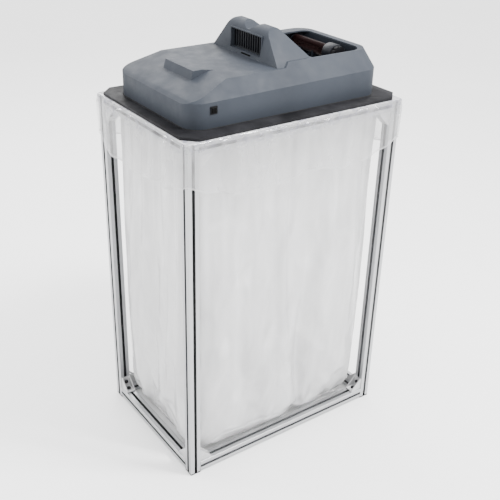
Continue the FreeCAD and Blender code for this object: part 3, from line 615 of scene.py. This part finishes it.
def nose_pad():
    """A steep front face, then a top that sinks into the deck."""
    share = (PAD_FRONT - NOSE - NOSE_BEVEL_RUN) / (RAMP_RUN - NOSE_BEVEL_RUN)
    ramp_low = NOSE_EDGE + NOSE_BEVEL_RISE
    foot = HOOD_BASE + ramp_low + (DECK - ramp_low) * share
    outline = [
        (PAD_FRONT, foot - 2 * MM),
        (PAD_FRONT + 7 * MM, DECK_TOP + PAD_RISE),
        (PAD_FRONT + 30 * MM, DECK_TOP + PAD_RISE),
        (PAD_FRONT + 70 * MM, DECK_TOP - 1 * MM),
    ]
    return along_y(outline, PAD_Y, "nose_pad")


WELL_WALL = 2.5 * MM
WELL_CORNER = 36 * MM
RIM_LEDGE = 16 * MM       # the rim overhangs the well's far wall
RIM_FAR = WELL_HIGH.y - WELL_WALL - RIM_LEDGE
RIM_FAR_CORNER = 24 * MM


def well_mouth():
    """The opening in the rim: square at the tower and rounded at the tail."""
    left = WELL_LOW.x + WELL_WALL
    right = WELL_HIGH.x - WELL_WALL
    near = WELL_LOW.y + WELL_WALL
    outline = [(left, RIM_FAR), (left, near)]
    outline += arc((right - WELL_CORNER, near + WELL_CORNER), WELL_CORNER, -90, 0, 12)
    outline += arc((right - RIM_FAR_CORNER, RIM_FAR - RIM_FAR_CORNER), RIM_FAR_CORNER, 0, 90, 9)
    return upright(outline, (WELL_HIGH.z - 8 * MM, RIM_TOP + 0.05), "mouth")


def hood_openings():
    """Corners of the boxes cut for the window, the status strip, the button and the inlet."""
    border = 3 * MM
    lip = 1.2 * MM
    past = 10 * MM
    return [
        (
            (TOWER_FRONT - past, GRILLE_LOW.y + border, GRILLE_LOW.z + border),
            (GRILLE_LOW.x + 1 * MM, GRILLE_HIGH.y - border, GRILLE_HIGH.z - border),
        ),
        (
            (TOWER_FRONT - past, STRIP_LOW.y, STRIP_LOW.z),
            (STRIP_HIGH.x, STRIP_HIGH.y, STRIP_HIGH.z),
        ),
        (
            (BEZEL_LOW.x + lip, BEZEL_LOW.y - past, BEZEL_LOW.z + lip),
            (BEZEL_HIGH.x - lip, BEZEL_LOW.y + 2 * past, BEZEL_HIGH.z - lip),
        ),
        (
            (TAIL - past, INLET_LOW.y + border, INLET_LOW.z + border),
            (TAIL + past, INLET_HIGH.y - border, INLET_HIGH.z - border),
        ),
    ]


def make_hood():
    """Rounds the outside first, so that the hollow and the openings keep crisp edges."""
    hood = combine(hood_body(0), nose_pad(), "UNION")
    clean_edges(hood)
    round_edges(hood, EDGE_ROUND, 4, 24.0)
    hood = combine(hood, hood_body(WALL), "DIFFERENCE")

    lining = box_piece(
        "lining",
        (TOWER_FRONT + 4 * MM, GRILLE_LOW.y, GRILLE_LOW.z),
        (GRILLE_LOW.x, GRILLE_HIGH.y, GRILLE_HIGH.z),
    )
    hood = combine(hood, lining, "UNION")
    for low, high in hood_openings():
        hood = combine(hood, box_piece("opening", low, high), "DIFFERENCE")
    hood = combine(hood, well_mouth(), "DIFFERENCE")
    clean_edges(hood, 0.5)
    shade(hood, 28.0)
    dress(hood, "head", MATERIALS["grey_plastic"])
    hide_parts("hood_shell")


# ---- Bag ------------------------------------------------------------------------------

FILM_PITCH = 12 * MM
RAIL_SPAN = 39 * MM       # from the skirt outside to the liner inside
LINER_X = BAG_HIGH.x - RAIL_SPAN
LINER_Y = BAG_HIGH.y - RAIL_SPAN
LINER_CORNER = 20 * MM
SKIRT_CORNER = 10 * MM
SKIRT_X = BAG_HIGH.x - 0.5 * MM
SKIRT_Y = BAG_HIGH.y - 0.5 * MM
FILM_TOP = BAG_HIGH.z - 0.4 * MM
SKIRT_DROP = 134 * MM
SKIRT_ROWS = 16
STAND_OFF = 2 * MM        # from the bag's plain outline to the film before it is hung
SKIRT_FOLD = 9 * MM
SKIRT_PUCKER = 2 * MM
LINER_WAVE = 3 * MM
CREASE_DEPTH = 50 * MM
CRINKLE = 2.5 * MM
GATHER_DEPTH = 42 * MM    # the film is bunched this far down from the frame's top
HEM_COVER = 0.4           # how much less clear the hem is
CLOTH_FRAMES = 45
CLOTH_GAP = 1.5 * MM
CLOTH_SPARE = 0.045       # the film's own lengths are this share longer than the starting mesh's


def rounded_loop(half_x, half_y, radius):
    """Points round a rectangle; every size of loop has the same number, in the same places."""
    across = 46
    deep = 30
    bend = 5
    points = []
    for turn in range(4):
        length_steps, size = ((across, (half_x, half_y)), (deep, (half_y, half_x)))[turn % 2]
        run = size[0] - radius
        side = [(-run + 2 * run * step / length_steps, -size[1]) for step in range(length_steps)]
        corner = arc((run, -size[1] + radius), radius, -90, 0, bend)[:-1]
        for x, y in side + corner:
            for _ in range(turn):
                x, y = -y, x
            points.append((x, y))
    return points


def bag_loops():
    """Rings of points from the middle of the bag's bottom up, over the rails and down."""
    loops = []
    floor = BAG_LOW.z + 3 * MM
    liner = rounded_loop(LINER_X, LINER_Y, LINER_CORNER)
    for share in (0.08, 0.25, 0.42, 0.6, 0.78, 0.9, 0.97):
        loops.append(([(x * share, y * share) for x, y in liner], floor))
    rows = int((FILM_TOP - floor) / FILM_PITCH)
    for row in range(rows + 1):
        z = floor + (FILM_TOP - floor) * row / rows
        loops.append((liner, z))
    rim_first = len(loops) - 1
    for share in (0.25, 0.5, 0.75, 1.0):
        size_x = LINER_X + (SKIRT_X - LINER_X) * share
        size_y = LINER_Y + (SKIRT_Y - LINER_Y) * share
        corner = LINER_CORNER + (SKIRT_CORNER - LINER_CORNER) * share
        loops.append((rounded_loop(size_x, size_y, corner), FILM_TOP))
    rim_last = len(loops) - 1
    outline = rounded_loop(SKIRT_X, SKIRT_Y, SKIRT_CORNER)
    for row in range(1, SKIRT_ROWS + 1):
        loops.append((outline, [FILM_TOP - hem_drop(x, y) * row / SKIRT_ROWS for x, y in outline]))
    return loops, rim_first, rim_last


def hem_drop(x, y):
    """The rim was folded over by hand: its hem wanders, and rides up at the corners."""
    corner = abs(x / SKIRT_X) * abs(y / SKIRT_Y)
    wander = noise.noise(Vector((x * 7, y * 7, 0.4)))
    return SKIRT_DROP - 34 * MM * corner ** 7 + 16 * MM * wander


def make_bag():
    """One sheet of film: the liner inside the frame, the rim over the rails, the skirt."""
    loops, rim_first, rim_last = bag_loops()

    def build(bm):
        rings = []
        for points, heights in loops:
            if not isinstance(heights, list):
                heights = [heights] * len(points)
            rings.append([bm.verts.new((x, y, z)) for (x, y), z in zip(points, heights)])
        bm.faces.new(reversed(rings[0]))
        count = len(rings[0])
        for lower, upper in zip(rings, rings[1:]):
            for index in range(count):
                after = (index + 1) % count
                bm.faces.new((lower[index], lower[after], upper[after], upper[index]))

    bag = piece_from("bag_film", build)
    ring_size = len(loops[0][0])
    pinned = list(range(rim_first * ring_size, (rim_last + 1) * ring_size))
    seed_folds(bag, ring_size, rim_first, rim_last)
    hang(bag, pinned)
    crease(bag, ring_size, rim_last)
    mark_film(bag, ring_size, rim_first)
    bag.data.materials.append(MATERIALS["clear_film"])
    bag.data.materials.append(SKIRT_FILM)
    for face in bag.data.polygons:
        row = min(face.vertices) // ring_size
        face.material_index = 1 if row >= rim_last else 0
        face.use_smooth = True
    smooth = bag.modifiers.new("smooth", "SUBSURF")
    smooth.levels = 1
    smooth.render_levels = 1
    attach(bag, "frame")
    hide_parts("dust_bag")


def seed_folds(bag, ring_size, rim_first, rim_last):
    """Small waves in the skirt and the liner, from which the simulation starts."""
    for index, vertex in enumerate(bag.data.vertices):
        row = index // ring_size
        place = vertex.co
        outward = Vector((place.x / OUTSIDE_X, place.y / OUTSIDE_Y, 0)).normalized()
        if row > rim_last:
            depth = (row - rim_last) / SKIRT_ROWS
            fold = noise.noise(Vector((place.x * 16, place.y * 16, place.z * 5)))
            pucker = noise.noise(Vector((place.x * 45, place.y * 45, place.z * 18 + 7)))
            push = STAND_OFF + SKIRT_FOLD * max(fold, -0.2) + SKIRT_PUCKER * pucker
            vertex.co += outward * push * depth ** 0.8
        elif row < rim_first:
            wave = noise.noise(Vector((place.x * 14, place.y * 14, place.z * 2.5 + 3)))
            vertex.co -= outward * (STAND_OFF + LINER_WAVE * wave)


def mark_film(bag, ring_size, rim_first):
    """Marks the hem, which is less clear, and the film gathered over the rails."""
    hem = bag.data.attributes.new("hem", "FLOAT", "POINT")
    gather = bag.data.attributes.new("gather", "FLOAT", "POINT")
    count = len(bag.data.vertices)
    for index, vertex in enumerate(bag.data.vertices):
        below_top = (FRAME_TOP - vertex.co.z) / GATHER_DEPTH
        over_rail = index >= rim_first * ring_size
        hem.data[index].value = HEM_COVER if index >= count - ring_size else 0.0
        # gather also masks the painted shade in the film's puckers
        gather.data[index].value = max(0.0, 1.0 - max(0.0, below_top) ** 2) if over_rail else 0.0


def hang(bag, pinned):
    """Lets the film hang from the rails, under its weight and a little air pressure inside."""
    scene = bpy.context.scene
    solids = collision_frame()
    group = bag.vertex_groups.new(name="held")
    group.add(pinned, 1.0, "REPLACE")
    cloth = bag.modifiers.new("cloth", "CLOTH")
    settings = cloth.settings
    settings.quality = 6
    settings.mass = 0.02
    settings.tension_stiffness = 12
    settings.compression_stiffness = 6
    settings.shear_stiffness = 4
    settings.bending_stiffness = 0.08
    settings.tension_damping = 8
    settings.compression_damping = 8
    settings.shear_damping = 8
    settings.bending_damping = 0.8
    settings.air_damping = 2.0
    settings.vertex_group_mass = "held"
    settings.shrink_min = -CLOTH_SPARE
    settings.shrink_max = -CLOTH_SPARE
    settings.use_pressure = True
    settings.uniform_pressure_force = 0.12
    cloth.collision_settings.distance_min = CLOTH_GAP
    cloth.collision_settings.collision_quality = 3
    cloth.collision_settings.use_self_collision = False
    cloth.point_cache.frame_start = 1
    cloth.point_cache.frame_end = CLOTH_FRAMES
    for step in range(1, CLOTH_FRAMES + 1):
        scene.frame_set(step)
    apply_modifiers(bag)
    bag.vertex_groups.clear()
    bpy.data.objects.remove(solids)
    scene.frame_set(1)


def collision_frame():
    """Plain boxes for the profiles and below the bag's bottom, only for the simulation."""
    def add_box(bm, low, high):
        made = bmesh.ops.create_cube(bm, size=1.0)["verts"]
        size = [b - a for a, b in zip(low, high)]
        middle = [(a + b) / 2 for a, b in zip(low, high)]
        bmesh.ops.scale(bm, vec=size, verts=made)
        bmesh.ops.translate(bm, vec=middle, verts=made)

    def build(bm):
        for side in (-1, 1):
            for end in (-1, 1):
                x = sorted((side * OPENING_X, side * OUTSIDE_X))
                y = sorted((end * OPENING_Y, end * OUTSIDE_Y))
                add_box(bm, (x[0], y[0], 0), (x[1], y[1], FRAME_TOP))
            for low, high in ((RAIL_LOW.z, RAIL_HIGH.z), (FOOT_RAIL_LOW.z, FOOT_RAIL_HIGH.z)):
                x = sorted((side * OPENING_X, side * OUTSIDE_X))
                y = sorted((side * OPENING_Y, side * OUTSIDE_Y))
                add_box(bm, (x[0], -OPENING_Y, low), (x[1], OPENING_Y, high))
                add_box(bm, (-OPENING_X, y[0], low), (OPENING_X, y[1], high))
        deep = -100 * MM
        add_box(bm, (-OPENING_X, -OPENING_Y, deep), (OPENING_X, OPENING_Y, BAG_LOW.z))

    solids = piece_from("collision_frame", build)
    solids.modifiers.new("collision", "COLLISION")
    solids.collision.thickness_outer = CLOTH_GAP
    solids.collision.cloth_friction = 8
    return solids


def crease(bag, ring_size, rim_last):
    """Fine crinkles down the skirt, strongest where the film is gathered at the rails."""
    for index, vertex in enumerate(bag.data.vertices):
        row = index // ring_size
        if row <= rim_last:
            continue
        place = vertex.co
        outward = Vector((place.x / OUTSIDE_X, place.y / OUTSIDE_Y, 0)).normalized()
        near_rail = max(0.0, 1 - (FRAME_TOP - place.z) / CREASE_DEPTH)
        crinkle = noise.noise(Vector((place.x * 60, place.y * 60, place.z * 90)))
        vertex.co += outward * crinkle * CRINKLE * (0.3 + near_rail)


# ---- Stage, light and camera ------------------------------------------------------------

FLOOR_REACH = 40.0
WORLD_LOW = 1.3
WORLD_HIGH = 3.4


def area_light(name, place, target, size, power):
    """A rectangular lamp in watts, turned towards its target."""
    data = bpy.data.lights.new(name, "AREA")
    data.shape = "RECTANGLE"
    data.size = size[0]
    data.size_y = size[1]
    data.energy = power
    lamp = bpy.data.objects.new(name, data)
    bpy.context.scene.collection.objects.link(lamp)
    lamp.location = place
    lamp.rotation_euler = (Vector(target) - Vector(place)).to_track_quat("-Z", "Y").to_euler()


def make_floor():
    def build(bm):
        bmesh.ops.create_grid(bm, x_segments=24, y_segments=24, size=FLOOR_REACH)

    floor = piece_from("floor", build)
    made = Surface("pale_floor", (0.9, 0.9, 0.9), 0.6, specular=0.2)
    made.feed("Base Color", made.ramp(made.noise(1.5), (0.895, 0.895, 0.895), (0.91, 0.91, 0.91)))
    floor.data.materials.append(made.material)


def make_world():
    """A white surround that grows brighter from the horizon up."""
    world = bpy.context.scene.world or bpy.data.worlds.new("studio")
    bpy.context.scene.world = world
    world.use_nodes = True
    nodes = world.node_tree.nodes
    links = world.node_tree.links
    place = nodes.new("ShaderNodeTexCoord")
    parts = nodes.new("ShaderNodeSeparateXYZ")
    climb = nodes.new("ShaderNodeMapRange")
    climb.inputs["From Min"].default_value = -0.1
    climb.inputs["From Max"].default_value = 0.9
    climb.inputs["To Min"].default_value = WORLD_LOW
    climb.inputs["To Max"].default_value = WORLD_HIGH
    nodes["Background"].inputs["Color"].default_value = (1.0, 1.0, 1.0, 1.0)
    links.new(place.outputs["Generated"], parts.inputs["Vector"])
    links.new(parts.outputs["Z"], climb.inputs["Value"])
    links.new(climb.outputs["Result"], nodes["Background"].inputs["Strength"])


def make_lights():
    """A high key, weak fills, and two narrow strips that glint on the film's skirt."""
    middle = Vector((0, 0, FRAME_TOP / 2))
    hood = middle + Vector((0, 0, 0.3))
    skirt = Vector((0, 0, 0.85))
    strip = (0.25, 1.0)
    area_light("key", (1.0, -1.4, 3.0), hood, (0.6, 0.6), 150)
    area_light("fill", (-2.6, -1.2, 1.6), middle, (1.6, 2.0), 20)
    area_light("glint_front", (1.8, -2.5, 1.5), skirt, strip, 30)
    area_light("glint_left", (-2.3, 1.9, 1.4), skirt, strip, 30)
    area_light("back", (0.6, 2.4, 2.4), middle, (2.0, 1.2), 50)


CAMERA_TARGET = Vector((0.006, -0.009, 0.498))
CAMERA_AZIMUTH = -35.8    # degrees from looking along +Y
CAMERA_ELEVATION = 28.2
CAMERA_DISTANCE = 2.24
CAMERA_LENS = 58.4
CAMERA_ROLL = 1.6


def make_camera():
    azimuth = math.radians(CAMERA_AZIMUTH)
    rise = math.radians(CAMERA_ELEVATION)
    level = math.cos(rise)
    back = Vector((math.sin(azimuth) * level, -math.cos(azimuth) * level, math.sin(rise)))
    data = bpy.data.cameras.new("camera")
    data.lens = CAMERA_LENS
    data.sensor_width = 36
    camera = bpy.data.objects.new("camera", data)
    bpy.context.scene.collection.objects.link(camera)
    camera.location = CAMERA_TARGET + back * CAMERA_DISTANCE
    turn = (-back).to_track_quat("-Z", "Y").to_matrix().to_4x4()
    turn = turn @ Matrix.Rotation(math.radians(CAMERA_ROLL), 4, "Z")
    camera.rotation_euler = turn.to_euler()
    bpy.context.scene.camera = camera


# ---- The scene --------------------------------------------------------------------------

dress_cad_nodes()
make_hood()
softened("lid_plate", 0.8 * MM, "head", MATERIALS["black_panel"])
softened("button_bezel", 0.5 * MM, "head", MATERIALS["black_plastic"])
softened("filter_end_ring", 1.5 * MM, "cartridge", MATERIALS["pale_plastic"])
softened("filter_grip", 1.0 * MM, "cartridge", MATERIALS["black_plastic"])
softened("top_brackets", 0.8 * MM, "frame", MATERIALS["cast_bracket"])
softened("bottom_brackets", 0.8 * MM, "frame", MATERIALS["cast_bracket"])
make_bag()
make_floor()
make_world()
make_lights()
make_camera()
